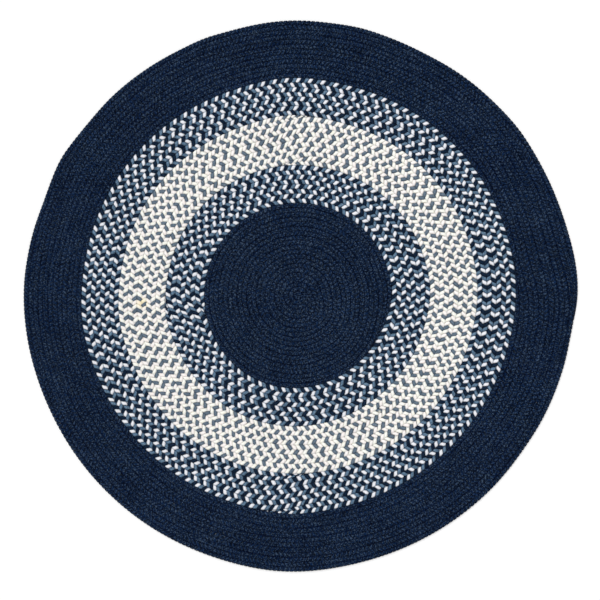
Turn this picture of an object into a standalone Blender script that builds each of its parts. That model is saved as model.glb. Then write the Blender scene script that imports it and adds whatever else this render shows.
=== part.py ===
"""Round braided rug, lying flat.

One flat braid of three strands is coiled from the middle and laced edge to edge. It comes in
five lengths, spliced where the colour changes: a dark coil, a mixed band, a pale band, a second
mixed band and a dark border. Seen from above the coil grows outwards as it runs clockwise, and
every turn of a length keeps its distance from the middle except at that length's join, where
all its turns step out by one. Metres, +Z up, the floor at zero.
"""

import math
from collections import namedtuple

import bmesh
import bpy

# Driving dimensions
RUG_THICKNESS = 0.012  # floor to the crown of a turn
LACED_HEIGHT = 0.0065  # floor to the groove where two turns are laced together
LENGTH_GAP = 0.0003  # between two lengths of braid

# How a turn of braid rises from its inner groove to its outer one, as shares of its width and
# of the height of its rib
TurnPoint = namedtuple("TurnPoint", "across rise")
TURN_PROFILE = (
    TurnPoint(0.0, 0.0),
    TurnPoint(0.25, 1.0),
    TurnPoint(0.75, 1.0),
    TurnPoint(1.0, 0.0),
)

# The five lengths of braid, from the middle out. A length starts and ends at join_deg, and
# over join_span its turns step out and both its ends taper. bulge is how far the doubled braid
# there pushes the length's outer edge out, and drift how far that edge lies off the middle,
# towards drift_deg.
Length = namedtuple(
    "Length", "node turns turn_width join_deg join_span bulge drift drift_deg steps colour"
)
LENGTHS = (
    Length("centre_coil", 10, 0.0309, 12, 60, 0.0060, 0.0033, 149, 36, (25, 38, 56)),
    Length("inner_mixed_band", 4, 0.0317, 197, 20, 0.0075, 0.0018, 152, 72, (105, 116, 130)),
    Length("cream_band", 5, 0.0314, 102, 20, 0.0100, 0.0007, 110, 72, (185, 188, 188)),
    Length("outer_mixed_band", 4, 0.0316, 277, 20, 0.0075, 0.0018, 0, 72, (99, 110, 125)),
    Length("border_band", 6, 0.0324, 12, 20, 0.0115, 0.0046, 352, 72, (24, 35, 55)),
)
BULGE_AFTER_DEG = 10  # from where a length starts to the middle of its bulge
BULGE_REACH_DEG = 11
BULGE_KEPT = 0.85  # share of a bulge that is left one length further out

# What keeps every turn from being a true circle
Wave = namedtuple("Wave", "count height crest_deg")
WAVES = (Wave(2, 0.0028, 37), Wave(3, 0.0017, 17))

# Small dents and bumps of the rug's own edge
Dent = namedtuple("Dent", "middle_deg push reach_deg")
EDGE_DENTS = (
    Dent(37, 0.0026, 5),
    Dent(62, -0.0035, 7),
    Dent(77, 0.0032, 5),
    Dent(110, 0.0030, 4),
    Dent(140, -0.0028, 5),
    Dent(150, 0.0038, 4),
    Dent(160, -0.0042, 5),
    Dent(177, 0.0032, 7),
    Dent(325, -0.0028, 7),
    Dent(353, -0.0050, 5),
)

YARN_ROUGHNESS = 0.9
WELD = 1e-5
CREASE_DEG = 50


def bell(degrees, middle, reach):
    """A smooth hump that is 1 at middle and fades over about reach degrees."""
    away = (degrees - middle + 180) % 360 - 180
    return math.exp(-((away / reach) ** 2))


def smooth_step(share):
    share = min(max(share, 0.0), 1.0)
    return share * share * (3 - 2 * share)


def seam_radius(count, degrees):
    """How far the outer edge of the first count lengths lies from the middle of the coil."""
    if count == 0:
        return 0.0
    inside = LENGTHS[:count]
    last = inside[-1]
    radius = sum(length.turns * length.turn_width for length in inside)
    radius += last.drift * math.cos(math.radians(degrees - last.drift_deg))
    for wave in WAVES:
        radius += wave.height * math.cos(math.radians(wave.count * (degrees - wave.crest_deg)))
    for place, length in enumerate(inside):
        push = length.bulge * BULGE_KEPT ** (count - 1 - place)
        radius += push * bell(degrees, length.join_deg - BULGE_AFTER_DEG, BULGE_REACH_DEG)
    if count == len(LENGTHS):
        for dent in EDGE_DENTS:
            radius += dent.push * bell(degrees, dent.middle_deg, dent.reach_deg)
    return radius


def groove_share(length, step):
    """Where the inner groove of the coil lies at this step, as a share of the way across."""
    turn, part = divmod(step, length.steps)
    if turn == 0:
        return 0.0
    stepped = smooth_step(part * 360 / length.steps / length.join_span)
    return min((turn - 1 + stepped) / length.turns, 1.0)


def turn_point(place, step, column, coil_middle):
    """The point of a turn's top at this step round the coil and this column of its profile."""
    length = LENGTHS[place]
    degrees = length.join_deg - 360 * step / length.steps
    inner = seam_radius(place, degrees) + (LENGTH_GAP / 2 if place else 0.0)
    outer = seam_radius(place + 1, degrees)
    if place + 1 < len(LENGTHS):
        outer -= LENGTH_GAP / 2
    start = inner + (outer - inner) * groove_share(length, step)
    end = inner + (outer - inner) * groove_share(length, step + length.steps)
    profile = TURN_PROFILE[column]
    radius = start + (end - start) * profile.across
    fullness = min((end - start) / length.turn_width, 1.0)
    height = LACED_HEIGHT + (RUG_THICKNESS - LACED_HEIGHT) * profile.rise * fullness
    angle = math.radians(degrees)
    return (
        coil_middle[0] + radius * math.cos(angle),
        coil_middle[1] + radius * math.sin(angle),
        height,
    )


def middle_of_coil():
    """Where the coil's middle lies, so that the box round the rug is centred on the origin."""
    border = LENGTHS[-1]
    xs, ys = [], []
    for step in range(border.steps):
        degrees = border.join_deg - 360 * step / border.steps
        radius = seam_radius(len(LENGTHS), degrees)
        xs.append(radius * math.cos(math.radians(degrees)))
        ys.append(radius * math.sin(math.radians(degrees)))
    return -(min(xs) + max(xs)) / 2, -(min(ys) + max(ys)) / 2


def wind_turns(bm, place, coil_middle):
    """A flat grid, wound into the coil and welded to itself along the grooves."""
    length = LENGTHS[place]
    steps = length.turns * length.steps + round(length.join_span * length.steps / 360)
    columns = len(TURN_PROFILE) - 1
    bmesh.ops.create_grid(bm, x_segments=steps, y_segments=columns, size=0.5)
    for vert in bm.verts:
        step = round((vert.co.x + 0.5) * steps)
        column = round((vert.co.y + 0.5) * columns)
        vert.co = turn_point(place, step, column, coil_middle)
    bmesh.ops.remove_doubles(bm, verts=bm.verts, dist=WELD)
    bmesh.ops.dissolve_degenerate(bm, edges=bm.edges, dist=WELD)


def close_underside(bm):
    """Walls from the open edges down to the floor, and one flat face between them."""
    rims = [edge for edge in bm.edges if edge.is_boundary]
    walls = bmesh.ops.extrude_edge_only(bm, edges=rims)["geom"]
    for item in walls:
        if isinstance(item, bmesh.types.BMVert):
            item.co.z = 0.0
    feet = [edge for edge in bm.edges if edge.is_boundary]
    bmesh.ops.triangle_fill(bm, edges=feet, use_beauty=True)
    bmesh.ops.recalc_face_normals(bm, faces=bm.faces)


def srgb_to_linear(value):
    share = value / 255
    return share / 12.92 if share <= 0.04045 else ((share + 0.055) / 1.055) ** 2.4


def yarn_material(length):
    material = bpy.data.materials.new(length.node + "_yarn")
    material.use_nodes = True
    shader = material.node_tree.nodes["Principled BSDF"]
    colour = [srgb_to_linear(value) for value in length.colour]
    shader.inputs["Base Color"].default_value = (*colour, 1.0)
    shader.inputs["Roughness"].default_value = YARN_ROUGHNESS
    shader.inputs["Metallic"].default_value = 0.0
    material.diffuse_color = (*colour, 1.0)
    return material


def add_length(place, coil_middle, collection):
    length = LENGTHS[place]
    bm = bmesh.new()
    wind_turns(bm, place, coil_middle)
    close_underside(bm)
    mesh = bpy.data.meshes.new(length.node)
    bm.to_mesh(mesh)
    bm.free()
    mesh.materials.append(yarn_material(length))
    mesh.shade_smooth()
    mesh.set_sharp_from_angle(angle=math.radians(CREASE_DEG))
    braid = bpy.data.objects.new(length.node, mesh)
    collection.objects.link(braid)


def clear_scene():
    for item in list(bpy.data.objects):
        bpy.data.objects.remove(item, do_unlink=True)


def main():
    clear_scene()
    collection = bpy.data.collections.new("braided_rug")
    bpy.context.scene.collection.children.link(collection)
    coil_middle = middle_of_coil()
    for place in range(len(LENGTHS)):
        add_length(place, coil_middle, collection)


main()
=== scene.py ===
"""Looks of the round braided rug, laid out as a Blender add-on and run as a script.

Every length of braid is made of its three real strands, each a flat tube of yarn that crosses
over and under the other two. The braid's lane, which is how the coil is wound, repeats the sizes
of the model's own solids. Metres, +Z up, the floor at zero.
"""

import math
from collections import namedtuple

import bmesh
import bpy
import numpy as np
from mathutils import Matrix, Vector


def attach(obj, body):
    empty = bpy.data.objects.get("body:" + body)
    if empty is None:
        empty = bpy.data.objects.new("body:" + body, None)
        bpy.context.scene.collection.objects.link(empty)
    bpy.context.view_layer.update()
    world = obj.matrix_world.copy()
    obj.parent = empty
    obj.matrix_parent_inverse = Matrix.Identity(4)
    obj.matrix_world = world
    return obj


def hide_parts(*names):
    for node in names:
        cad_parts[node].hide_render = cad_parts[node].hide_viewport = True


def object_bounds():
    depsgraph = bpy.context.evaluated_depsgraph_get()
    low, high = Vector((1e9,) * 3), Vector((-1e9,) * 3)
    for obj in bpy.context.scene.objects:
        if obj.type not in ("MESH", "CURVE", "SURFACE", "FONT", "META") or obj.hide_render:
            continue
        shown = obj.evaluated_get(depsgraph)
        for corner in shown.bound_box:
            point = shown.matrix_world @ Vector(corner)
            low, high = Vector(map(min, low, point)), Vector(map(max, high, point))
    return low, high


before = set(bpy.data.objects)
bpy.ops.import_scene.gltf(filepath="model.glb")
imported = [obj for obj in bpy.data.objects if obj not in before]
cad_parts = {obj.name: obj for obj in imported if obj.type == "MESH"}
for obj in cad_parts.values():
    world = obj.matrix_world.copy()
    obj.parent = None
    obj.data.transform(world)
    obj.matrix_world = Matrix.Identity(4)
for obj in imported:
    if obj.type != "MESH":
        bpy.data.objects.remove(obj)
CAD_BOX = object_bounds()

bl_info = {
    "name": "Round braided rug",
    "version": (1, 0, 0),
    "blender": (4, 5, 0),
    "location": "3D View > Sidebar > Braided rug",
    "description": "Winds the five lengths of a round braided rug, strand by strand",
    "category": "Mesh",
}

# The coil, as the solids have it
RUG_THICKNESS = CAD_BOX[1].z - CAD_BOX[0].z
LACED_HEIGHT = 0.0065  # floor to the groove where two turns are laced together
Length = namedtuple("Length", "node turns turn_width join_deg join_span bulge drift drift_deg")
LENGTHS = (
    Length("centre_coil", 10, 0.0309, 12, 60, 0.0060, 0.0033, 149),
    Length("inner_mixed_band", 4, 0.0317, 197, 20, 0.0075, 0.0018, 152),
    Length("cream_band", 5, 0.0314, 102, 20, 0.0100, 0.0007, 110),
    Length("outer_mixed_band", 4, 0.0316, 277, 20, 0.0075, 0.0018, 0),
    Length("border_band", 6, 0.0324, 12, 20, 0.0115, 0.0046, 352),
)
BULGE_AFTER_DEG = 10  # from where a length starts to the middle of its bulge
BULGE_REACH_DEG = 11
BULGE_KEPT = 0.85  # share of a bulge that is left one length further out
OUTLINE_STEP_DEG = 5  # between two corners of the border's outline

# What keeps every turn from being a true circle
Wave = namedtuple("Wave", "count height crest_deg")
WAVES = (Wave(2, 0.0028, 37), Wave(3, 0.0017, 17))

# Small dents and bumps of the rug's own edge
Dent = namedtuple("Dent", "middle_deg push reach_deg")
EDGE_DENTS = (
    Dent(37, 0.0026, 5),
    Dent(62, -0.0035, 7),
    Dent(77, 0.0032, 5),
    Dent(110, 0.0030, 4),
    Dent(140, -0.0028, 5),
    Dent(150, 0.0038, 4),
    Dent(160, -0.0042, 5),
    Dent(177, 0.0032, 7),
    Dent(325, -0.0028, 7),
    Dent(353, -0.0050, 5),
)

# The strands of each length: their yarns in plaiting order, how wide each is as a share of the
# usual width, how many pieces long it is, and a slot for them
Plait = namedtuple("Plait", "yarns widths pieces slot")
EVEN_WIDTHS = (1.0, 1.0, 1.0)
MIXED_WIDTHS = (0.95, 0.96, 1.09)  # the navy strand takes more room than the other two
PLAITS = {
    "centre_coil": Plait(("centre_navy",) * 3, EVEN_WIDTHS, 1, "navy_braid"),
    "inner_mixed_band": Plait(("slate", "white", "navy"), MIXED_WIDTHS, 1, "mixed_braid"),
    "cream_band": Plait(("cream_slate", "cream", "warm_cream"), EVEN_WIDTHS, 2, "cream_braid"),
    "outer_mixed_band": Plait(("slate", "white", "navy"), MIXED_WIDTHS, 2, "mixed_braid"),
    "border_band": Plait(("border_navy",) * 3, EVEN_WIDTHS, 3, "navy_braid"),
}

# Where the plait was pulled tighter or looser: the length of each slow wave along the braid, and
# the share of a period by which it runs ahead at most
Pull = namedtuple("Pull", "wavelength most")
PULLS = (Pull(0.31, 0.06), Pull(0.83, 0.17), Pull(2.3, 0.38))

# How a strand's thickness and width drift along it, as waves whose length is in half periods
DRIFT_WAVES = (1.7, 2.9, 5.3, 13.0)
DRIFT_PEAK = 2.4  # about the most that those waves add up to
THICKNESS_DRIFT, WIDTH_DRIFT = 0, 1
DRIFT_DRAWS = 3  # one more than are used, which keeps the later draws as they are

# The shape of a plait and its strands
STRANDS = 3
STRAND_SHARE = 0.47  # a strand's usual thickness, as a share of the rug's
TIP_WIDTH = 0.05  # share of a full turn's width at which the plait ends
TIP_STRAND = 0.3  # share of a strand's thickness that is left there
TIP_SPREAD = 0.6  # share of a strand's width that is left there
TURN_OVERLAP = 0.0031  # how far laced turns press into each other
RUN_STRAIGHTNESS = 0.94  # how straight a strand runs from edge to edge, up to 1 for a zigzag
LEAST_REACH = 0.3  # share of the braid's half width that a strand always swings out to
PINCH = 0.45  # share of its leading half's width that a strand loses before the middle line
PINCH_PHASE = math.radians(-15)  # where along the strand that is, from the middle line
PINCH_REACH = math.radians(18)  # how far to either side it fades
FOLD_SHARPNESS = 2.4  # how squarely a strand turns over at the braid's edge
RIM_EASE = 0.25  # length over which the outermost turn's free edge is eased in

# Where a strand has its sections, in each half period: about the pinch at the middle line, and
# near the fold at the braid's edge
RING_PHASES = np.radians((-15, 15, 52, 78, 102, 128))
JOIN_RING = 5  # the section, under another strand, where a strand is joined
JOIN_MARGIN = 1e-6  # keeps that section from being missed by rounding

# How finely the rest is made
SIDES = 6  # corners of a section
LANE_STEPS = 720  # samples of the lane in one turn
LEAST_SPEED = 0.6  # keeps the squashed strands of a tip from folding into themselves
NUDGE = 0.02  # step for the slopes of a strand's surface
WELD = 1e-7  # corners closer than this become one

# The names of a strand's own UV map, of the one for baking, and of the attribute that says where
# a point is between the braid's edges
STRAND_MAP = "Strand"
BAKE_MAP = "OFBake"
ROW_PLACE = "Row"

# How a strand is laid out on its maps
STRIP_GIRTH = 0.030  # way round a strand
ROW_GAP = 0.06  # space between two rows of the baking map, as a share of a row
CAP_PART = 6  # an end face's radius is a sixth of the girth there, or of a row's gap

# The studio
FLOOR_SIZE = 200.0  # so wide that a low view doesn't show its edge
FLOOR_ROUGHNESS = 0.9
FLOOR_SPECULAR = 0.1
SENSOR_MM = 36.0
KEY_PLACE = (-0.9, 1.5, 4.0)  # the key light shines from here onto the rug's middle


def srgb(red, green, blue):
    """A colour as the eye reads it, 0 to 255, as the linear one that shaders take."""
    shares = np.array((red, green, blue)) / 255
    linear = np.where(shares <= 0.04045, shares / 12.92, ((shares + 0.055) / 1.055) ** 2.4)
    return tuple(float(value) for value in linear)


# ---------------------------------------------------------------- yarns

# What each yarn is spun from and the shade painted on it: how bright its darker fibres are beside
# the rest, the colour of its flecks, how much of it those two make up, how far its painted shade
# darkens it between the strands and in the grooves along the braid's middle and edges, how uneven
# its dye is from one part of the rug to the next, and how much bluer its painted shade stays
Spun = namedtuple("Spun", "shade fleck shade_share fleck_share depth groove patches cool")
SPUN = {
    "centre_navy": Spun(0.10, srgb(79, 97, 118), 0.90, 0.60, 0.08, 0.78, 0.12, 0.32),
    "border_navy": Spun(0.10, srgb(76, 95, 117), 0.90, 0.60, 0.08, 0.70, 0.12, 0.32),
    "navy": Spun(0.40, srgb(50, 66, 90), 0.6, 0.30, 0.14, 0.54, 0.06, 0.28),
    "slate": Spun(0.45, srgb(142, 162, 178), 0.75, 0.50, 0.28, 0.66, 0.06, 0.18),
    "white": Spun(0.84, srgb(249, 232, 234), 0.6, 0.50, 0.16, 0.68, 0.03, 0.08),
    "cream": Spun(0.97, srgb(255, 249, 218), 0.6, 0.60, 0.05, 0.25, 0.02, 0.03),
    "warm_cream": Spun(0.96, srgb(255, 236, 224), 0.6, 0.60, 0.05, 0.25, 0.02, 0.03),
    "cream_slate": Spun(0.65, srgb(140, 154, 166), 0.6, 0.35, 0.10, 0.48, 0.06, 0.18),
}

# How fine a noise is, how many layers it has and how much its finer layers show
Grain = namedtuple("Grain", "scale detail roughness")
STREAKS = Grain(1.0, 1.0, 0.5)  # each tone states how many a metre it has
FUZZ = Grain(900.0, 2.0, 0.6)
DYE = Grain(9.0, 3.0, 0.6)
STAIN_RIM = Grain(90.0, 2.0, 0.5)

# The two other tones of heathered yarn: how many streaks of each a metre of ply has, where in
# the noise they start, the blotches that break them up, and the sums of streak and blotch
# between which the tone comes in
Tone = namedtuple("Tone", "streaks start blotches low high")
SHADE_TONE = Tone(160.0, 3.7, Grain(260.0, 2.0, 0.7), 0.88, 1.12)
FLECK_TONE = Tone(230.0, 41.9, Grain(290.0, 1.0, 0.5), 1.03, 1.19)
PLY_STEP = 17.31  # between two plies in the streaks' noise, so that they aren't alike

# The plies and the fuzz on them
PLIES = 14
PLY_TWIST = 40.0  # how many plies cross a line along the strand, in one metre
PLY_RELIEF = 0.0008  # how far a ply stands out of the groove beside it
RELIEF_STRENGTH = 0.6
FUZZ_SHARE = 0.5  # of the plies' relief

# Painted shade and uneven dye. The painted shade darkens the low places, the grooves between
# plies, a strand's two sides and the grooves along the braid. Heights are shares of the rug's
# thickness, and a groove along the braid is placed from 0 at its middle line to 1 at its edge.
LOW_HEIGHT, FULL_HEIGHT = 0.45, 0.9  # from the one to the other the low places' shade fades
PLY_SHADE = 0.45  # of the grooves between plies, beside that of the low places
SIDE_SHADE = 0.8  # of a strand's two sides
SIDE_SHARPNESS = 3.0  # how close to its sides that stays
MIDDLE_GROOVE = 0.26  # how far the groove along the middle reaches
EDGE_GROOVE = (0.76, 0.96)  # from where to where the one at an edge deepens
DYE_LIMITS = (0.3, 0.7)  # of the dye's noise, at its darkest and its palest patches
LEAST_TONE = 0.05  # of a yarn's colour that is left in the deepest shade

# Soft spots: the yarns that they show on, their tone, where they are, and how far and how
# strongly they spread
Stain = namedtuple("Stain", "yarns tone x y radius strength")
STAINS = (
    Stain(("cream", "warm_cream"), srgb(255, 232, 150), -0.529, -0.023, 0.024, 0.45),
    Stain(("cream_slate",), srgb(240, 236, 222), 0.262, -0.386, 0.011, 0.85),
)
STAIN_RAGGEDNESS = 0.012  # how far a spot's rim wanders
STAIN_FADE = (0.4, 1.4)  # from where to where a spot fades, as shares of its radius

# The finish of the yarn
YARN_ROUGHNESS = 0.93
FLECK_ROUGHNESS = 0.82
FULL_FLECK = 0.5  # share of fleck that has that roughness
YARN_SPECULAR = 0.02
YARN_SHEEN = 0.02
SHEEN_ROUGHNESS = 0.5


# ---------------------------------------------------------------- settings


class BraidSizes(bpy.types.PropertyGroup):
    """Sizes of the braid that every length shares."""

    period: bpy.props.FloatProperty(
        name="Period",
        description="Length of braid in which each strand comes back to where it was",
        default=0.0413,
        min=0.02,
        max=0.1,
        subtype="DISTANCE",
        unit="LENGTH",
    )
    strand_width: bpy.props.FloatProperty(
        name="Strand width",
        description="Width of one flat strand",
        default=0.0132,
        min=0.01,
        max=0.02,
        subtype="DISTANCE",
        unit="LENGTH",
    )
    strand_thickness: bpy.props.FloatProperty(
        name="Strand thickness",
        description="Thickness of one flat strand, a little less than half of the rug's",
        default=RUG_THICKNESS * STRAND_SHARE,
        min=0.001,
        max=0.01,
        subtype="DISTANCE",
        unit="LENGTH",
    )
    unevenness: bpy.props.FloatProperty(
        name="Unevenness",
        description="How much a strand's width and thickness vary along it",
        default=0.06,
        min=0.0,
        max=0.3,
        subtype="FACTOR",
    )
    seed: bpy.props.IntProperty(
        name="Seed",
        description="Picks the unevenness of the strands",
        default=7,
        min=0,
    )


def colour_setting(name, description, colour):
    return bpy.props.FloatVectorProperty(
        name=name,
        description=description,
        subtype="COLOR",
        size=3,
        default=colour,
        min=0.0,
        max=1.0,
    )


class YarnColours(bpy.types.PropertyGroup):
    """Colours of the yarns."""

    centre_navy: colour_setting("Centre navy", "Dark yarn of the centre coil", srgb(16, 38, 70))
    border_navy: colour_setting("Border navy", "Dark yarn of the border", srgb(14, 36, 69))
    navy: colour_setting("Navy", "Dark yarn of the mixed bands", srgb(20, 37, 58))
    slate: colour_setting("Slate blue", "Mid blue yarn of the mixed bands", srgb(101, 130, 157))
    white: colour_setting("Off-white", "Pale yarn of the mixed bands", srgb(246, 249, 255))
    cream: colour_setting("Cream", "Paler yarn of the cream band", srgb(255, 255, 250))
    warm_cream: colour_setting("Warm cream", "Pale yarn beside the cream", srgb(255, 251, 249))
    cream_slate: colour_setting("Cream's blue", "Blue yarn of the cream band", srgb(102, 118, 134))


class StudioSettings(bpy.types.PropertyGroup):
    """Camera, floor and light."""

    camera_height: bpy.props.FloatProperty(
        name="Camera height",
        description="Height of the camera over the floor",
        default=4.0,
        min=2.0,
        subtype="DISTANCE",
        unit="LENGTH",
    )
    view_width: bpy.props.FloatProperty(
        name="View width",
        description="Width of floor that the picture shows",
        default=1.998,
        min=0.5,
        subtype="DISTANCE",
        unit="LENGTH",
    )
    view_centre: bpy.props.FloatVectorProperty(
        name="View centre",
        description="Point of the floor in the middle of the picture",
        default=(-0.0027, -0.0133),
        size=2,
        subtype="XYZ",
        unit="LENGTH",
    )
    key_strength: bpy.props.FloatProperty(
        name="Key light",
        description="Brightness of the broad light overhead",
        default=2.2,
        min=0.0,
    )
    key_spread: bpy.props.FloatProperty(
        name="Key light's spread",
        description="How broad the overhead light is, as an angle",
        default=math.radians(50),
        min=0.0,
        max=math.pi,
        subtype="ANGLE",
        unit="ROTATION",
    )
    sky_strength: bpy.props.FloatProperty(
        name="Fill light",
        description="Brightness of the even light from all round",
        default=0.45,
        min=0.0,
    )
    floor_colour: colour_setting("Floor", "Colour of the floor", (0.97, 0.97, 0.97))


class BraidedRugSettings(bpy.types.PropertyGroup):
    """All settings of the rug."""

    sizes: bpy.props.PointerProperty(type=BraidSizes)
    colours: bpy.props.PointerProperty(type=YarnColours)
    studio: bpy.props.PointerProperty(type=StudioSettings)


# ---------------------------------------------------------------- the lane of the braid


def bell(degrees, middle, reach):
    """A smooth hump that is 1 at middle and fades over about reach degrees."""
    away = (degrees - middle + 180) % 360 - 180
    return np.exp(-((away / reach) ** 2))


def smooth_step(share):
    share = np.clip(share, 0.0, 1.0)
    return share * share * (3 - 2 * share)


def seam_radius(count, degrees):
    """How far the outer edge of the first count lengths lies from the middle of the coil."""
    if count == 0:
        return np.zeros_like(degrees)
    inside = LENGTHS[:count]
    last = inside[-1]
    radius = sum(length.turns * length.turn_width for length in inside)
    radius = radius + last.drift * np.cos(np.radians(degrees - last.drift_deg))
    for wave in WAVES:
        radius = radius + wave.height * np.cos(np.radians(wave.count * (degrees - wave.crest_deg)))
    for place, length in enumerate(inside):
        push = length.bulge * BULGE_KEPT ** (count - 1 - place)
        radius = radius + push * bell(degrees, length.join_deg - BULGE_AFTER_DEG, BULGE_REACH_DEG)
    if count == len(LENGTHS):
        for dent in EDGE_DENTS:
            radius = radius + dent.push * bell(degrees, dent.middle_deg, dent.reach_deg)
    return radius


def groove_share(length, turn):
    """Where the inner groove lies after this many turns, as a share of the way across."""
    whole = np.floor(turn)
    stepped = smooth_step((turn - whole) * 360 / length.join_span)
    share = np.minimum((whole - 1 + stepped) / length.turns, 1.0)
    return np.where(turn < 1, 0.0, share)


def middle_of_coil():
    """Where the coil's middle lies, so that the box round the rug is centred on the origin."""
    degrees = np.arange(0, 360, OUTLINE_STEP_DEG, dtype=float)
    degrees += LENGTHS[-1].join_deg % OUTLINE_STEP_DEG
    radius = seam_radius(len(LENGTHS), degrees)
    x = radius * np.cos(np.radians(degrees))
    y = radius * np.sin(np.radians(degrees))
    return -(x.min() + x.max()) / 2, -(y.min() + y.max()) / 2


class Lane:
    """The way one length of braid takes round the coil, and how wide it is there."""

    def __init__(self, place, sizes, chance):
        length = LENGTHS[place]
        turn = np.arange(0, length.turns + length.join_span / 360, 1 / LANE_STEPS)
        degrees = length.join_deg - 360 * turn
        inner = seam_radius(place, degrees)
        across = seam_radius(place + 1, degrees) - inner
        start = inner + across * groove_share(length, turn)
        end = inner + across * groove_share(length, turn + 1)
        wide = np.flatnonzero(end - start > TIP_WIDTH * length.turn_width)
        kept = slice(wide[0], wide[-1] + 1)
        self.degrees = degrees[kept]
        self.radius = ((start + end) / 2)[kept]
        self.half = ((end - start) / 2)[kept]
        stepped = np.hypot(np.diff(self.radius), self.radius[1:] * np.radians(360 / LANE_STEPS))
        self.travel = np.concatenate(([0.0], np.cumsum(stepped)))
        self.fullness = np.minimum(self.half * 2 / length.turn_width, 1.0)
        self.periods = self.travel / sizes.period + self.pull(chance)
        self.middle = middle_of_coil()
        self.outermost = place == len(LENGTHS) - 1
        self.last_turn = math.tau * self.radius[-1]

    def pull(self, chance):
        """How far the plait runs ahead or behind where it was pulled tighter or looser."""
        ahead = np.zeros_like(self.travel)
        for wavelength, most in PULLS:
            start = chance.uniform(0, math.tau)
            ahead += most * np.sin(math.tau * self.travel / wavelength + start)
        return ahead

    def at(self, travel, values):
        return np.interp(travel, self.travel, values)

    def travel_at(self, periods):
        return np.interp(periods, self.periods, self.travel)


# ---------------------------------------------------------------- strands


def swing(phase):
    """Where a strand is between the braid's edges, -1 to 1, in nearly straight runs."""
    return np.arcsin(RUN_STRAIGHTNESS * np.sin(phase)) / math.asin(RUN_STRAIGHTNESS)


def swing_slope(phase):
    """How fast swing changes with phase."""
    bend = np.sqrt(1 - (RUN_STRAIGHTNESS * np.sin(phase)) ** 2)
    return RUN_STRAIGHTNESS * np.cos(phase) / bend / math.asin(RUN_STRAIGHTNESS)


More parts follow.
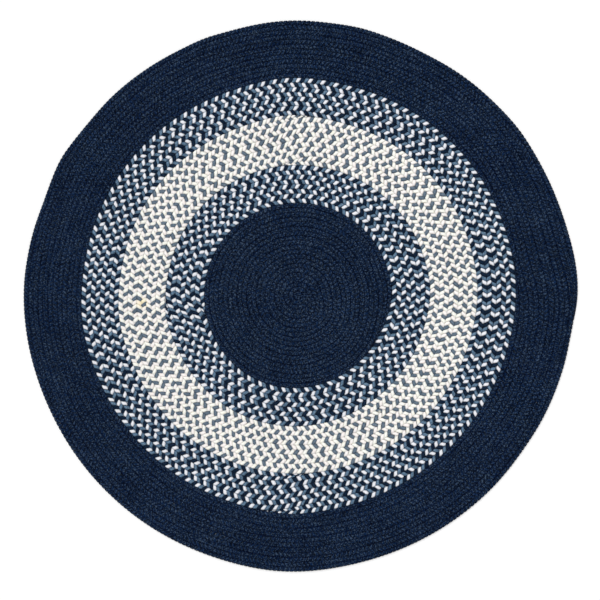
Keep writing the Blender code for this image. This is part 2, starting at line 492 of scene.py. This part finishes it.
class Strand:
    """One of the three strands of a length, as a surface in two directions.

    phase runs along the strand, 360 degrees for each period of the plait. It lies on the
    braid's middle line at 0 and 180 degrees and turns over at the edges at 90 and 270.
    across runs over the strand's width, from -1 to 1.
    """

    def __init__(self, lane, place_in_plait, width, sizes, chance):
        self.lane = lane
        self.width = width
        self.sizes = sizes
        self.turn_rate = math.tau / sizes.period
        self.lead = place_in_plait / STRANDS
        waves = len(DRIFT_WAVES)
        self.drifts = [chance.uniform(0, math.tau, waves) for _ in range(DRIFT_DRAWS)]

    def drift(self, phase, which):
        """A slow uneven drift along the strand, about -1 to 1."""
        total = np.zeros_like(phase)
        for wavelength, start in zip(DRIFT_WAVES, self.drifts[which]):
            total += np.sin(2 * phase / wavelength + start)
        return total / DRIFT_PEAK

    def thickness(self, phase):
        travel = self.lane.travel_at(phase / math.tau + self.lead)
        fullness = self.lane.at(travel, self.lane.fullness)
        uneven = 1 + self.sizes.unevenness * self.drift(phase, THICKNESS_DRIFT)
        return self.sizes.strand_thickness * (TIP_STRAND + (1 - TIP_STRAND) * fullness) * uneven

    def spread(self, phase, across):
        """Where a point over the strand's width lies along the lane, and in the plait's phase.

        The third and fourth results are the braid's height and the strand's thickness there.
        """
        lane = self.lane
        phase, across = np.broadcast_arrays(phase, across)
        travel = lane.travel_at(phase / math.tau + self.lead)
        fullness = lane.at(travel, lane.fullness)
        full_height = LACED_HEIGHT + (RUG_THICKNESS - LACED_HEIGHT) * fullness
        thickness = self.thickness(phase)
        lift = (full_height - thickness) / 2
        half_width = self.width / 2 * (TIP_SPREAD + (1 - TIP_SPREAD) * fullness)
        half_width = half_width * (1 + self.sizes.unevenness * self.drift(phase, WIDTH_DRIFT))

        # Its leading half is pressed narrow where it comes out from under its neighbour
        from_pinch = (phase - PINCH_PHASE + math.pi / 2) % math.pi - math.pi / 2
        pinch = PINCH * fullness**3 * np.exp(-((from_pinch / PINCH_REACH) ** 2))
        half_width = half_width * np.where(across < 0, 1 - pinch, 1)
        reach = self.reach(travel, thickness)

        # The way across the strand, square to the way along it on the unfolded plait
        folding = np.cosh(FOLD_SHARPNESS * np.cos(phase)) ** 2
        upwards = lift * FOLD_SHARPNESS * np.sin(phase) / folding
        speed = np.hypot(reach * swing_slope(phase), upwards) * self.turn_rate
        speed = np.maximum(speed, LEAST_SPEED)
        offset = across * half_width / np.hypot(speed, 1)
        turned = phase + offset * self.turn_rate / speed
        return travel - offset * speed, turned, full_height, thickness

    def row(self, phase, around):
        """Where a point lies between the braid's edges, -1 to 1, and 0 at its middle line."""
        _, turned, _, _ = self.spread(phase, np.cos(around))
        return swing(turned)

    def middle_surface(self, phase, across):
        """Points of the surface halfway through the strand's thickness."""
        lane = self.lane
        travel, turned, full_height, thickness = self.spread(phase, across)
        lift = (full_height - thickness) / 2

        # Sideways it swings from edge to edge
        reach = self.reach(travel, thickness)
        sideways = reach * swing(turned)

        # It climbs over one strand and from under the other where it crosses the middle line,
        # and turns over at the edges
        crossing = np.round(turned / math.pi)
        away = turned - crossing * math.pi
        crossing_travel = lane.travel_at(crossing / 2 + self.lead)
        slope = reach * swing_slope(0.0) * self.turn_rate
        past = (reach * swing(away) + slope * (travel - crossing_travel)) / np.hypot(slope, 1)
        neighbour = self.sizes.period / (2 * STRANDS) * slope / np.hypot(slope, 1)
        side = np.sin(np.clip(past / neighbour, -1, 1) * math.pi / 2)
        fold = np.tanh(FOLD_SHARPNESS * np.cos(away)) / math.tanh(FOLD_SHARPNESS)
        height = full_height / 2 + lift * side * fold

        # The rug's own edge isn't pressed into another turn
        free = smooth_step((travel - lane.travel[-1] + lane.last_turn) / RIM_EASE) * lane.outermost
        rounder = reach * np.maximum(np.sin(turned), 0)
        sideways = np.where(sideways > 0, sideways + free * (rounder - sideways), sideways)
        sideways = sideways - TURN_OVERLAP * free * np.maximum(sideways / reach, 0)

        angle = np.radians(lane.at(travel, lane.degrees))
        radius = lane.at(travel, lane.radius) + sideways
        x = lane.middle[0] + radius * np.cos(angle)
        y = lane.middle[1] + radius * np.sin(angle)
        return np.stack((x, y, height), axis=-1)

    def reach(self, travel, thickness):
        """How far the strand's middle surface gets from the braid's middle line."""
        half = self.lane.at(travel, self.lane.half)
        return np.maximum(half - thickness / 2 + TURN_OVERLAP, half * LEAST_REACH)

    def slope(self, phase, across, along, over):
        """Which way the middle surface runs for a small step along or over the strand."""
        ahead = self.middle_surface(phase + along, across + over)
        return ahead - self.middle_surface(phase - along, across - over)

    def surface(self, phase, around):
        """Points of the strand's own surface, around its oval section."""
        across = np.cos(around)
        centre = self.middle_surface(phase, across)
        along = self.slope(phase, across, NUDGE, 0)
        over = self.slope(phase, across, 0, NUDGE)
        normal = np.cross(along, over)
        normal /= np.linalg.norm(normal, axis=-1, keepdims=True)
        highest_corner = math.sin(math.tau / SIDES)
        half = self.thickness(phase) / 2 * np.sin(around) / highest_corner
        points = centre + normal * half[..., None]
        points[..., 2] = np.clip(points[..., 2], 0.0, RUG_THICKNESS)
        return points

    def rings(self, pieces):
        """The phases of the strand's sections, cut into as many pieces as it is joined from."""
        lane = self.lane
        start = (lane.periods[0] - self.lead) * math.tau
        end = (lane.periods[-1] - self.lead) * math.tau
        halves = np.arange(math.floor(start / math.pi), math.ceil(end / math.pi) + 1)
        phases = (halves[:, None] * math.pi + RING_PHASES).ravel()
        phases = phases[(phases >= start) & (phases <= end)]
        cuts = [0]
        for join in range(1, pieces):
            whole_halves = round(len(phases) * join / pieces / len(RING_PHASES) / 2) * 2
            past = math.pi * (phases[0] // math.pi + whole_halves) + RING_PHASES[JOIN_RING]
            cuts.append(int(np.searchsorted(phases, past - JOIN_MARGIN)))
        cuts.append(len(phases) - 1)
        return [phases[first:last + 1] for first, last in zip(cuts, cuts[1:])]

    def length(self, phases):
        """Length of the strand's middle line between the first and the last of these phases."""
        points = self.middle_surface(phases, np.zeros_like(phases))
        return float(np.linalg.norm(np.diff(points, axis=0), axis=1).sum())


def fill(entries, name, values):
    """Sets this value of all vertices of a mesh, or of all entries of one of its layers."""
    entries.foreach_set(name, values.ravel().astype(np.float32))


def strip_rows(length):
    """How many rows a strand is cut into to fill a square map."""
    return max(1, round(math.sqrt(length / STRIP_GIRTH)))


def strip_layout(mesh, phases, length):
    """Two UV maps on a flat grid: metres along and share around, and rows that fill a square.

    The results are each vertex's step along the strand and its side around it.
    """
    steps = len(phases) - 1
    count = len(mesh.vertices)
    flat = np.empty(count * 3, np.float32)
    mesh.vertices.foreach_get("co", flat)
    flat = flat.reshape(-1, 3)
    step = np.rint((flat[:, 0] + 0.5) * steps).astype(int)
    side = np.rint((flat[:, 1] + 0.5) * SIDES).astype(int)
    corners = np.empty(len(mesh.loops), np.int32)
    mesh.loops.foreach_get("vertex_index", corners)

    along = (phases[step[corners]] - phases[0]) * (length / (phases[-1] - phases[0]))
    around = side[corners] / SIDES
    strand_map = mesh.uv_layers.new(name=STRAND_MAP)
    fill(strand_map.data, "uv", np.stack((along, around), axis=1))

    rows = strip_rows(length)
    row_steps = math.ceil(steps / rows)
    face_step = step[corners].reshape(-1, 4).min(axis=1).repeat(4)
    row = face_step // row_steps
    in_row = (step[corners] - row * row_steps) / row_steps
    bake_map = mesh.uv_layers.new(name=BAKE_MAP)
    u = ROW_GAP / 2 + in_row * (1 - ROW_GAP)
    v = (row + ROW_GAP + around * (1 - 2 * ROW_GAP)) / rows
    fill(bake_map.data, "uv", np.stack((u, v), axis=1))
    mesh.uv_layers.active = strand_map
    return step, side


def lay_out_caps(bm, caps, length):
    """Puts the strand's two end faces on both UV maps, in the free strips at a row's ends."""
    strand_map = bm.loops.layers.uv[STRAND_MAP]
    bake_map = bm.loops.layers.uv[BAKE_MAP]
    rows = strip_rows(length)
    for place, cap in enumerate(caps):
        for corner, loop in enumerate(cap.loops):
            angle = math.tau * corner / len(cap.loops)
            out = Vector((math.cos(angle), math.sin(angle)))
            loop[strand_map].uv = Vector((place * length, 0.5)) + out * STRIP_GIRTH / CAP_PART
            middle = Vector((ROW_GAP / 4 + place * (1 - ROW_GAP / 2), 0.5 / rows))
            loop[bake_map].uv = middle + out * ROW_GAP / CAP_PART


def wind_strand(name, strand, phases, material, collection):
    """One strand as a closed tube: a flat grid, laid along the strand and welded to itself."""
    steps = len(phases) - 1
    length = strand.length(phases)
    mesh = bpy.data.meshes.new(name)
    bm = bmesh.new()
    bmesh.ops.create_grid(bm, x_segments=steps, y_segments=SIDES, size=0.5)
    bm.to_mesh(mesh)
    bm.free()
    step, side = strip_layout(mesh, phases, length)
    around = np.arange(SIDES)[None, :] * math.tau / SIDES
    points = strand.surface(phases[:, None], around)
    fill(mesh.vertices, "co", points[step, side % SIDES])
    rows = strand.row(phases[:, None], around)
    row_place = mesh.attributes.new(ROW_PLACE, "FLOAT", "POINT")
    fill(row_place.data, "value", rows[step, side % SIDES])

    bm = bmesh.new()
    bm.from_mesh(mesh)
    seam = [vert for vert in bm.verts if vert.is_boundary]
    bmesh.ops.remove_doubles(bm, verts=seam, dist=WELD)
    ends = [edge for edge in bm.edges if edge.is_boundary]
    caps = bmesh.ops.holes_fill(bm, edges=ends, sides=SIDES)["faces"]
    lay_out_caps(bm, caps, length)
    bmesh.ops.recalc_face_normals(bm, faces=bm.faces)
    for face in bm.faces:
        face.smooth = True
    bm.to_mesh(mesh)
    bm.free()
    mesh.materials.append(material)
    piece = bpy.data.objects.new(name, mesh)
    collection.objects.link(piece)
    return piece, length


def braid_length(node):
    """All strands of one length of braid, in place of its solid."""
    settings = bpy.context.scene.braided_rug
    sizes = settings.sizes
    place = [length.node for length in LENGTHS].index(node)
    plait = PLAITS[node]
    chance = np.random.RandomState(sizes.seed + place)
    lane = Lane(place, sizes, chance)
    collection = rug_collection()
    for number, (yarn, share) in enumerate(zip(plait.yarns, plait.widths)):
        width = sizes.strand_width * share
        strand = Strand(lane, number, width, sizes, chance)
        material = yarn_material(yarn, settings.colours)
        for part, phases in enumerate(strand.rings(plait.pieces)):
            name = f"{node}_strand_{number + 1}"
            if plait.pieces > 1:
                name += "abc"[part]
            piece, length = wind_strand(name, strand, phases, material, collection)
            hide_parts(node)
            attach(piece, "root")


def rug_collection():
    name = "braided_rug"
    found = bpy.data.collections.get(name)
    if found is None:
        found = bpy.data.collections.new(name)
        bpy.context.scene.collection.children.link(found)
    return found


# ---------------------------------------------------------------- materials

FLOAT = "NodeSocketFloat"
COLOUR = "NodeSocketColor"

# A Mix node's sockets for colours, by their places, because it has others of the same names
MIX_SHARE, MIX_FIRST, MIX_SECOND = 0, 6, 7
MIX_RESULT = 2


def add_node(tree, kind, inputs=None, **settings):
    """A shader node with its settings, and its inputs set to values or linked to sockets."""
    node = tree.nodes.new(kind)
    for name, value in settings.items():
        setattr(node, name, value)
    for name, value in (inputs or {}).items():
        socket = node.inputs[name]
        if isinstance(value, bpy.types.NodeSocket):
            tree.links.new(value, socket)
        else:
            socket.default_value = value
    return node


def maths(tree, operation, *operands):
    inputs = dict(enumerate(operands))
    return add_node(tree, "ShaderNodeMath", inputs, operation=operation).outputs["Value"]


def noise(tree, place, grain):
    inputs = {
        "Vector": place,
        "Scale": grain.scale,
        "Detail": grain.detail,
        "Roughness": grain.roughness,
    }
    return add_node(tree, "ShaderNodeTexNoise", inputs).outputs["Fac"]


def blend_colours(tree, share, first, second, kind="MIX"):
    inputs = {MIX_SHARE: share, MIX_FIRST: first, MIX_SECOND: second}
    node = add_node(tree, "ShaderNodeMix", inputs, data_type="RGBA", blend_type=kind)
    return node.outputs[MIX_RESULT]


def remap(tree, value, low, high, to_low=0.0, to_high=1.0):
    inputs = {
        "Value": value,
        "From Min": low,
        "From Max": high,
        "To Min": to_low,
        "To Max": to_high,
    }
    node = add_node(tree, "ShaderNodeMapRange", inputs, interpolation_type="SMOOTHSTEP")
    return node.outputs["Result"]


def new_group(name, inputs, outputs):
    """An empty node group with these sockets, and its two end nodes."""
    tree = bpy.data.node_groups.new(name, "ShaderNodeTree")
    for socket, (kind, default) in inputs.items():
        made = tree.interface.new_socket(name=socket, in_out="INPUT", socket_type=kind)
        made.default_value = default
    for socket, kind in outputs.items():
        tree.interface.new_socket(name=socket, in_out="OUTPUT", socket_type=kind)
    return tree, tree.nodes.new("NodeGroupInput"), tree.nodes.new("NodeGroupOutput")


def plies_group():
    """The fine yarns that a strand is made of: which one a point is on, and how near its crest.

    Along is how far along the strand the point is, in metres, and Side how near its two sides.
    """
    name = "Plies of a strand"
    if name in bpy.data.node_groups:
        return bpy.data.node_groups[name]
    tree, given, result = new_group(
        name,
        {"Plies": (FLOAT, 10.0), "Twist": (FLOAT, 30.0)},
        {"Ply": FLOAT, "Crest": FLOAT, "Along": FLOAT, "Side": FLOAT},
    )
    strand = add_node(tree, "ShaderNodeUVMap", uv_map=STRAND_MAP)
    parts = add_node(tree, "ShaderNodeSeparateXYZ", {"Vector": strand.outputs["UV"]})
    along, around = parts.outputs["X"], parts.outputs["Y"]
    turned = maths(tree, "MULTIPLY", along, given.outputs["Twist"])
    lines = maths(tree, "MULTIPLY_ADD", around, given.outputs["Plies"], turned)
    ply = maths(tree, "FLOORED_MODULO", maths(tree, "FLOOR", lines), given.outputs["Plies"])
    crest = maths(tree, "SINE", maths(tree, "MULTIPLY", maths(tree, "FRACT", lines), math.pi))
    # How near a point is to a strand's two sides, where painted shade darkens it
    side = maths(tree, "COSINE", maths(tree, "MULTIPLY", around, math.tau))
    side = maths(tree, "POWER", maths(tree, "ABSOLUTE", side), SIDE_SHARPNESS)
    tree.links.new(side, result.inputs["Side"])
    tree.links.new(ply, result.inputs["Ply"])
    tree.links.new(crest, result.inputs["Crest"])
    tree.links.new(along, result.inputs["Along"])
    return tree


def heather_group():
    """Yarn spun from fibres of three tones, in short streaks along each ply."""
    name = "Heathered yarn"
    if name in bpy.data.node_groups:
        return bpy.data.node_groups[name]
    tree, given, result = new_group(
        name,
        {
            "Ply": (FLOAT, 0.0),
            "Along": (FLOAT, 0.0),
            "Yarn": (COLOUR, (0.5, 0.5, 0.5, 1)),
            "Shade": (COLOUR, (0.1, 0.1, 0.1, 1)),
            "Fleck": (COLOUR, (0.8, 0.8, 0.8, 1)),
            "Shade share": (FLOAT, 0.5),
            "Fleck share": (FLOAT, 0.2),
        },
        {"Colour": COLOUR, "Flecks": FLOAT},
    )

    place = add_node(tree, "ShaderNodeTexCoord").outputs["Object"]

    def fibres(tone):
        along = maths(tree, "MULTIPLY", given.outputs["Along"], tone.streaks)
        ply = maths(tree, "MULTIPLY_ADD", given.outputs["Ply"], PLY_STEP, tone.start)
        spot = add_node(tree, "ShaderNodeCombineXYZ", {"X": along, "Y": ply, "Z": tone.start})
        streaks = noise(tree, spot.outputs["Vector"], STREAKS)
        return maths(tree, "ADD", streaks, noise(tree, place, tone.blotches))

    shade = remap(tree, fibres(SHADE_TONE), SHADE_TONE.low, SHADE_TONE.high, 1.0, 0.0)
    shade = maths(tree, "MULTIPLY", shade, given.outputs["Shade share"])
    fleck = remap(tree, fibres(FLECK_TONE), FLECK_TONE.low, FLECK_TONE.high)
    fleck = maths(tree, "MULTIPLY", fleck, given.outputs["Fleck share"])
    shaded = blend_colours(tree, shade, given.outputs["Yarn"], given.outputs["Shade"])
    flecked = blend_colours(tree, fleck, shaded, given.outputs["Fleck"])
    tree.links.new(flecked, result.inputs["Colour"])
    tree.links.new(fleck, result.inputs["Flecks"])
    return tree


def painted_shade_and_dye_group():
    """Painted shade and uneven dye: darker between plies, strands and turns, and in slow dye
    patches.
    """
    name = "Wear of a rug"
    if name in bpy.data.node_groups:
        return bpy.data.node_groups[name]
    tree, given, result = new_group(
        name,
        {
            "Colour": (COLOUR, (0.5, 0.5, 0.5, 1)),
            "Crest": (FLOAT, 1.0),
            "Side": (FLOAT, 0.0),
            "Depth": (FLOAT, 0.5),
            "Row groove": (FLOAT, 0.3),
            "Patches": (FLOAT, 0.1),
            "Cool": (FLOAT, 0.1),
        },
        {"Colour": COLOUR},
    )
    place = add_node(tree, "ShaderNodeTexCoord").outputs["Object"]
    height = add_node(tree, "ShaderNodeSeparateXYZ", {"Vector": place}).outputs["Z"]
    # Painted shade: darker lower down, in the grooves between plies and at a strand's two sides
    low = remap(tree, height, RUG_THICKNESS * LOW_HEIGHT, RUG_THICKNESS * FULL_HEIGHT, 1.0, 0.0)
    groove = maths(tree, "SUBTRACT", 1.0, given.outputs["Crest"])
    dark = maths(tree, "MULTIPLY_ADD", groove, PLY_SHADE, low)
    dark = maths(tree, "MULTIPLY_ADD", given.outputs["Side"], SIDE_SHADE, dark)
    dark = maths(tree, "MULTIPLY", dark, given.outputs["Depth"])
    # Painted shade in the grooves along the braid's middle line and at its edges
    row = add_node(tree, "ShaderNodeAttribute", attribute_name=ROW_PLACE).outputs["Fac"]
    from_middle = maths(tree, "ABSOLUTE", row)
    at_edge = remap(tree, from_middle, *EDGE_GROOVE)
    at_middle = remap(tree, from_middle, 0.0, MIDDLE_GROOVE, 1.0, 0.0)
    row_groove = maths(tree, "ADD", at_edge, at_middle)
    dark = maths(tree, "MULTIPLY_ADD", row_groove, given.outputs["Row groove"], dark)
    patch = remap(tree, noise(tree, place, DYE), *DYE_LIMITS, -1.0, 1.0)
    patch = maths(tree, "MULTIPLY", patch, given.outputs["Patches"])
    value = maths(tree, "ADD", maths(tree, "SUBTRACT", 1.0, dark), patch)
    value = maths(tree, "MAXIMUM", value, LEAST_TONE)

    # The painted shade keeps more of a yarn's blue than of its red
    red = maths(tree, "POWER", value, maths(tree, "ADD", 1.0, given.outputs["Cool"]))
    blue = maths(tree, "POWER", value, maths(tree, "SUBTRACT", 1.0, given.outputs["Cool"]))
    tone = add_node(tree, "ShaderNodeCombineXYZ", {"X": red, "Y": value, "Z": blue})
    shade_and_dye = blend_colours(tree, 1.0, given.outputs["Colour"], tone.outputs["Vector"], "MULTIPLY")
    tree.links.new(shade_and_dye, result.inputs["Colour"])
    return tree


def stain_group():
    """One soft spot on the rug's face, by its place, in which the yarn takes another tone."""
    name = "Stain"
    if name in bpy.data.node_groups:
        return bpy.data.node_groups[name]
    tree, given, result = new_group(
        name,
        {
            "Colour": (COLOUR, (0.5, 0.5, 0.5, 1)),
            "Stain": (COLOUR, (0.5, 0.4, 0.2, 1)),
            "X": (FLOAT, 0.0),
            "Y": (FLOAT, 0.0),
            "Radius": (FLOAT, 0.02),
            "Strength": (FLOAT, 0.5),
        },
        {"Colour": COLOUR},
    )
    place = add_node(tree, "ShaderNodeTexCoord").outputs["Object"]
    parts = add_node(tree, "ShaderNodeSeparateXYZ", {"Vector": place})
    x = maths(tree, "SUBTRACT", parts.outputs["X"], given.outputs["X"])
    y = maths(tree, "SUBTRACT", parts.outputs["Y"], given.outputs["Y"])
    away = maths(tree, "MULTIPLY_ADD", x, x, maths(tree, "MULTIPLY", y, y))
    away = maths(tree, "POWER", away, 0.5)
    wander = noise(tree, place, STAIN_RIM)
    ragged = maths(tree, "MULTIPLY_ADD", wander, STAIN_RAGGEDNESS, away)
    share = maths(tree, "DIVIDE", ragged, given.outputs["Radius"])
    mask = remap(tree, share, *STAIN_FADE, 1.0, 0.0)
    mask = maths(tree, "MULTIPLY", mask, given.outputs["Strength"])
    stained = blend_colours(tree, mask, given.outputs["Colour"], given.outputs["Stain"])
    tree.links.new(stained, result.inputs["Colour"])
    return tree


def add_stains(tree, yarn, colour):
    """The yarn's colour with the soft spots that show on it."""
    for stain in STAINS:
        if yarn in stain.yarns:
            spot = {
                "Colour": colour,
                "Stain": (*stain.tone, 1.0),
                "X": stain.x,
                "Y": stain.y,
                "Radius": stain.radius,
                "Strength": stain.strength,
            }
            stained = add_node(tree, "ShaderNodeGroup", spot, node_tree=stain_group())
            colour = stained.outputs["Colour"]
    return colour


def yarn_material(yarn, colours):
    """Matt spun yarn: its plies, heather, painted shade, stains and fuzz."""
    if yarn in bpy.data.materials:
        return bpy.data.materials[yarn]
    spun = SPUN[yarn]
    colour = (*getattr(colours, yarn), 1.0)
    shade = (*(value * spun.shade for value in colour[:3]), 1.0)
    material = bpy.data.materials.new(yarn)
    material.use_nodes = True
    tree = material.node_tree
    twisted = {"Plies": PLIES, "Twist": PLY_TWIST}
    plies = add_node(tree, "ShaderNodeGroup", twisted, node_tree=plies_group())
    fibres = {
        "Ply": plies.outputs["Ply"],
        "Along": plies.outputs["Along"],
        "Yarn": colour,
        "Shade": shade,
        "Fleck": (*spun.fleck, 1.0),
        "Shade share": spun.shade_share,
        "Fleck share": spun.fleck_share,
    }
    heather = add_node(tree, "ShaderNodeGroup", fibres, node_tree=heather_group())
    # Painted shade between plies, strands and turns, with uneven dye
    shade_and_dye = {
        "Colour": heather.outputs["Colour"],
        "Crest": plies.outputs["Crest"],
        "Side": plies.outputs["Side"],
        "Depth": spun.depth,
        "Row groove": spun.groove,
        "Patches": spun.patches,
        "Cool": spun.cool,
    }
    shade_and_dye_node = add_node(tree, "ShaderNodeGroup", shade_and_dye, node_tree=painted_shade_and_dye_group())
    stained = add_stains(tree, yarn, shade_and_dye_node.outputs["Colour"])

    place = add_node(tree, "ShaderNodeTexCoord").outputs["Object"]
    fuzz = noise(tree, place, FUZZ)
    height = maths(tree, "MULTIPLY_ADD", fuzz, FUZZ_SHARE, plies.outputs["Crest"])
    relief = {"Height": height, "Distance": PLY_RELIEF, "Strength": RELIEF_STRENGTH}
    bump = add_node(tree, "ShaderNodeBump", relief)
    flecks = heather.outputs["Flecks"]
    roughness = remap(tree, flecks, 0.0, FULL_FLECK, YARN_ROUGHNESS, FLECK_ROUGHNESS)
    shader = tree.nodes["Principled BSDF"]
    tree.links.new(stained, shader.inputs["Base Color"])
    tree.links.new(roughness, shader.inputs["Roughness"])
    tree.links.new(bump.outputs["Normal"], shader.inputs["Normal"])
    shader.inputs["Specular IOR Level"].default_value = YARN_SPECULAR
    shader.inputs["Sheen Weight"].default_value = YARN_SHEEN
    shader.inputs["Sheen Roughness"].default_value = SHEEN_ROUGHNESS
    material.diffuse_color = colour
    return material


# ---------------------------------------------------------------- stage


def add_floor(studio):
    mesh = bpy.data.meshes.new("studio_floor")
    bm = bmesh.new()
    bmesh.ops.create_grid(bm, x_segments=1, y_segments=1, size=FLOOR_SIZE / 2)
    bm.to_mesh(mesh)
    bm.free()
    floor = bpy.data.objects.new("studio_floor", mesh)
    bpy.context.scene.collection.objects.link(floor)
    material = bpy.data.materials.new("studio_floor")
    material.use_nodes = True
    shader = material.node_tree.nodes["Principled BSDF"]
    shader.inputs["Base Color"].default_value = (*studio.floor_colour, 1.0)
    shader.inputs["Roughness"].default_value = FLOOR_ROUGHNESS
    shader.inputs["Specular IOR Level"].default_value = FLOOR_SPECULAR
    mesh.materials.append(material)


def add_lights(studio):
    scene = bpy.context.scene
    world = bpy.data.worlds.new("studio")
    world.use_nodes = True
    sky = world.node_tree.nodes["Background"]
    sky.inputs["Color"].default_value = (1.0, 1.0, 1.0, 1.0)
    sky.inputs["Strength"].default_value = studio.sky_strength
    scene.world = world
    light = bpy.data.lights.new("overhead_light", "SUN")
    light.energy = studio.key_strength
    light.angle = studio.key_spread
    lamp = bpy.data.objects.new("overhead_light", light)
    lamp.location = KEY_PLACE
    lamp.rotation_euler = (-lamp.location).to_track_quat("-Z", "Y").to_euler()
    scene.collection.objects.link(lamp)


def add_camera(studio):
    scene = bpy.context.scene
    lens = bpy.data.cameras.new("camera")
    lens.sensor_width = SENSOR_MM
    distance = studio.camera_height - RUG_THICKNESS
    lens.lens = lens.sensor_width * distance / studio.view_width
    camera = bpy.data.objects.new("camera", lens)
    camera.location = (*studio.view_centre, studio.camera_height)
    scene.collection.objects.link(camera)
    scene.camera = camera


# ---------------------------------------------------------------- operators and panel


class RUG_OT_centre_coil(bpy.types.Operator):
    """Wind the dark coil in the middle."""

    bl_idname = "rug.centre_coil"
    bl_label = "Centre coil"

    def execute(self, context):
        braid_length("centre_coil")
        return {"FINISHED"}


class RUG_OT_inner_mixed_band(bpy.types.Operator):
    """Wind the mixed band round the centre."""

    bl_idname = "rug.inner_mixed_band"
    bl_label = "Inner mixed band"

    def execute(self, context):
        braid_length("inner_mixed_band")
        return {"FINISHED"}


class RUG_OT_cream_band(bpy.types.Operator):
    """Wind the pale band."""

    bl_idname = "rug.cream_band"
    bl_label = "Cream band"

    def execute(self, context):
        braid_length("cream_band")
        return {"FINISHED"}


class RUG_OT_outer_mixed_band(bpy.types.Operator):
    """Wind the mixed band inside the border."""

    bl_idname = "rug.outer_mixed_band"
    bl_label = "Outer mixed band"

    def execute(self, context):
        braid_length("outer_mixed_band")
        return {"FINISHED"}


class RUG_OT_border_band(bpy.types.Operator):
    """Wind the dark border."""

    bl_idname = "rug.border_band"
    bl_label = "Border band"

    def execute(self, context):
        braid_length("border_band")
        return {"FINISHED"}


class RUG_OT_studio(bpy.types.Operator):
    """Set up the floor, the light and the camera."""

    bl_idname = "rug.studio"
    bl_label = "Studio"

    def execute(self, context):
        studio = context.scene.braided_rug.studio
        add_floor(studio)
        add_lights(studio)
        add_camera(studio)
        context.scene.view_settings.view_transform = "Standard"
        return {"FINISHED"}


class RUG_PT_braided_rug(bpy.types.Panel):
    """The rug's settings and its pieces."""

    bl_idname = "RUG_PT_braided_rug"
    bl_label = "Braided rug"
    bl_space_type = "VIEW_3D"
    bl_region_type = "UI"
    bl_category = "Braided rug"

    def draw(self, context):
        settings = context.scene.braided_rug
        for group in (settings.sizes, settings.colours, settings.studio):
            box = self.layout.box()
            for name in group.bl_rna.properties.keys():
                if name not in ("rna_type", "name"):
                    box.prop(group, name)
        for operator in OPERATORS:
            self.layout.operator(operator.bl_idname)


OPERATORS = (
    RUG_OT_studio,
    RUG_OT_centre_coil,
    RUG_OT_inner_mixed_band,
    RUG_OT_cream_band,
    RUG_OT_outer_mixed_band,
    RUG_OT_border_band,
)
SETTINGS = (BraidSizes, YarnColours, StudioSettings, BraidedRugSettings)


def register():
    for entry in (*SETTINGS, *OPERATORS, RUG_PT_braided_rug):
        bpy.utils.register_class(entry)
    bpy.types.Scene.braided_rug = bpy.props.PointerProperty(type=BraidedRugSettings)


def unregister():
    del bpy.types.Scene.braided_rug
    for entry in reversed((*SETTINGS, *OPERATORS, RUG_PT_braided_rug)):
        bpy.utils.unregister_class(entry)


def main():
    register()
    for operator in OPERATORS:
        family, name = operator.bl_idname.split(".")
        getattr(getattr(bpy.ops, family), name)()


if __name__ == "__main__":
    main()
